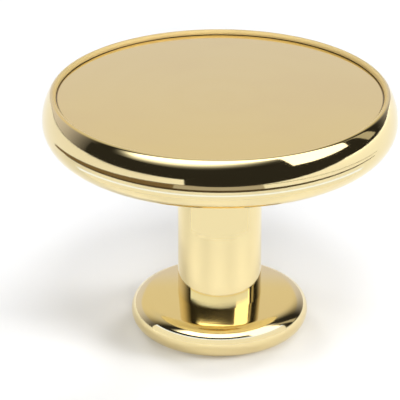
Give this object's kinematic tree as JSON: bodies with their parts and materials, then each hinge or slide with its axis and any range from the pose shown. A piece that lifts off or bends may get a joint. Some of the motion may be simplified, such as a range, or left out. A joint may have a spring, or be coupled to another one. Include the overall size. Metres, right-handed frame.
{
  "type": "cabinet knob",
  "caption": "Turned brass cabinet knob with a wide round head, sunk flat face, plain stem and small round foot.",
  "frame": {"origin": "middle of the foot's flat bottom, where the knob meets the door or drawer front", "axes": "+Z along the knob's axis from the foot to the face; the knob is round, so +X and +Y are free"},
  "size_m": [0.038, 0.038, 0.0275],
  "materials": {
    "brass": "polished"
  },
  "bodies": {
    "root": {"knob_body": "brass"}
  },
  "joints": []
}
